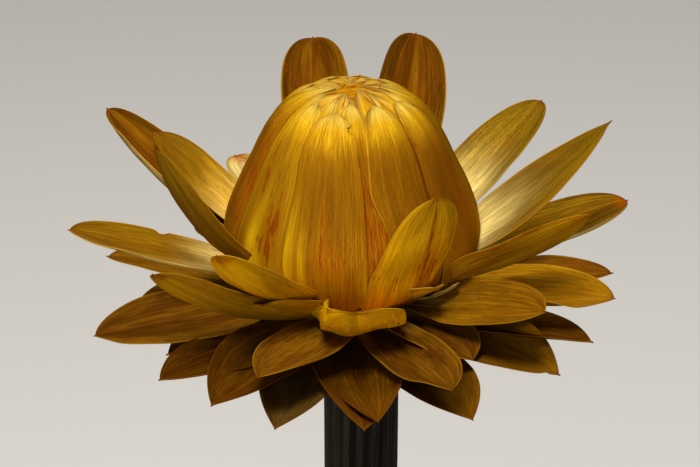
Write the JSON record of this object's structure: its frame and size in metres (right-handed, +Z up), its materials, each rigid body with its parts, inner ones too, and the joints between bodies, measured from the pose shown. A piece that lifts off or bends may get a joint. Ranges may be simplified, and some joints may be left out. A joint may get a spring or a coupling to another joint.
{
  "type": "dried strawflower in vase",
  "caption": "Dried golden strawflower with a closed dome of bracts above open pointed ones, on a ribbed stem in a narrow-necked bud vase.",
  "frame": {"origin": "centre of the vase's foot, on the surface that it stands on", "axes": "+Z up along the vase and the stem, and the bloom's front faces -Y"},
  "size_m": [0.0605, 0.0631, 0.1319],
  "materials": {
    "bract": "satin",
    "dried stem": "matte",
    "stoneware": "matte"
  },
  "bodies": {
    "root": {"bloom": "bract", "stem": "dried stem", "vase": "stoneware"}
  },
  "joints": []
}
